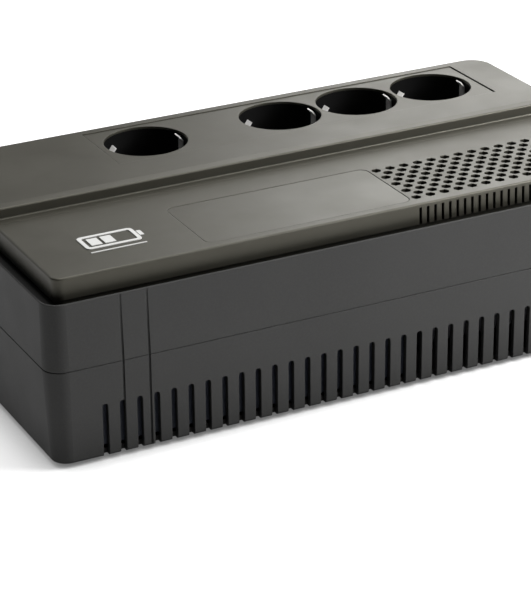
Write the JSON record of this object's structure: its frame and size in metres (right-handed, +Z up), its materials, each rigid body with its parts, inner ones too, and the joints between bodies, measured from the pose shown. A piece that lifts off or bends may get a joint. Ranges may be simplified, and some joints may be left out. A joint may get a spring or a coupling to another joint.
{
  "type": "uninterruptible power supply",
  "caption": "Low desktop uninterruptible power supply: a tub and rim shell, a stepped top cover over a shadow gap, earthed outlets on the rear deck and vents in front.",
  "frame": {"origin": "middle of the case's footprint, on the surface that the rubber feet stand on", "axes": "+X along the long side, +Y from the plain front towards the outlet side, +Z up"},
  "size_m": [0.305, 0.161, 0.092],
  "materials": {
    "case_plastic": "fine-textured dark grey moulding",
    "cover_plastic": "satin warm dark grey moulding",
    "socket_plastic": "black moulding",
    "inner_plastic": "plain black moulding",
    "spring_steel": "bright nickel-plated spring",
    "brass": "plain",
    "steel": "zinc plated",
    "rubber": "matt",
    "inlay_film": "blank satin film",
    "badge_print": "pale print",
    "plate_film": "blank silver film",
    "button_plastic": "dark satin cap",
    "circuit_board": "green solder mask",
    "light_guide": "green light guide",
    "reset_plastic": "pale reset plunger",
    "battery_plastic": "battery case",
    "foam": "closed-cell foam",
    "red_wire": "insulation",
    "black_wire": "insulation",
    "core_steel": "varnished laminations",
    "copper_winding": "enamelled copper under tape",
    "relay_plastic": "relay housing",
    "capacitor_sleeve": "shrink sleeve",
    "aluminium": "extruded",
    "ferrite": "coated ring core with winding",
    "varistor_coating": "epoxy coating",
    "connector_plastic": "natural nylon"
  },
  "bodies": {
    "housing": {"lower_case": "case_plastic", "upper_case": "case_plastic", "top_cover": "cover_plastic", "outlet_panel": "cover_plastic", "surge_socket_block": "socket_plastic", "backup_socket_block": "socket_plastic", "surge_contact_carrier": "inner_plastic", "backup_contact_carrier": "inner_plastic", "earth_clip_1": "spring_steel", "earth_clip_2": "spring_steel", "earth_clip_3": "spring_steel", "earth_clip_4": "spring_steel", "pin_contacts": "brass", "live_busbar": "brass", "neutral_busbar": "brass", "outlet_screws": "steel", "case_screws": "steel", "rubber_feet": "rubber", "label_inlay": "inlay_film", "cover_badge": "badge_print", "rating_plate": "plate_film", "button_board": "circuit_board", "button_switch": "inner_plastic", "status_light": "light_guide", "breaker_body": "inner_plastic", "breaker_nut": "steel", "cord_gland": "socket_plastic", "gland_nut": "socket_plastic", "earth_stud": "brass", "battery": "battery_plastic", "battery_terminals": "brass", "battery_pads": "foam", "red_battery_lead": "red_wire", "black_battery_lead": "black_wire", "transformer_core": "core_steel", "transformer_winding": "copper_winding", "transformer_bobbin": "inner_plastic", "transformer_bracket": "steel", "transformer_screws": "steel", "main_board": "circuit_board", "board_screws": "steel", "relays": "relay_plastic", "capacitors": "capacitor_sleeve", "heat_sinks": "aluminium", "transistors": "socket_plastic", "filter_choke": "ferrite", "varistors": "varistor_coating", "buzzer": "inner_plastic", "connectors": "connector_plastic", "controller": "socket_plastic"},
    "power_button": {"power_button": "button_plastic"},
    "breaker_button": {"breaker_button": "reset_plastic"},
    "shutter_1": {"shutter_1": "socket_plastic"},
    "shutter_2": {"shutter_2": "socket_plastic"},
    "shutter_3": {"shutter_3": "socket_plastic"},
    "shutter_4": {"shutter_4": "socket_plastic"}
  },
  "joints": [
    {"name": "power_press", "type": "slide", "parent": "housing", "child": "power_button", "axis": [-1, 0, 0], "range_m": [0, 0.0015], "stiffness_N_per_m": 400, "springref_m": -0.002},
    {"name": "breaker_trip", "type": "slide", "parent": "housing", "child": "breaker_button", "axis": [1, 0, 0], "range_m": [0, 0.003]},
    {"name": "shutter_1_slide", "type": "slide", "parent": "housing", "child": "shutter_1", "axis": [-1, 0, 0], "range_m": [0, 0.006], "stiffness_N_per_m": 60, "springref_m": -0.003},
    {"name": "shutter_2_slide", "type": "slide", "parent": "housing", "child": "shutter_2", "axis": [-1, 0, 0], "range_m": [0, 0.006], "stiffness_N_per_m": 60, "springref_m": -0.003},
    {"name": "shutter_3_slide", "type": "slide", "parent": "housing", "child": "shutter_3", "axis": [-1, 0, 0], "range_m": [0, 0.006], "stiffness_N_per_m": 60, "springref_m": -0.003},
    {"name": "shutter_4_slide", "type": "slide", "parent": "housing", "child": "shutter_4", "axis": [-1, 0, 0], "range_m": [0, 0.006], "stiffness_N_per_m": 60, "springref_m": -0.003}
  ]
}
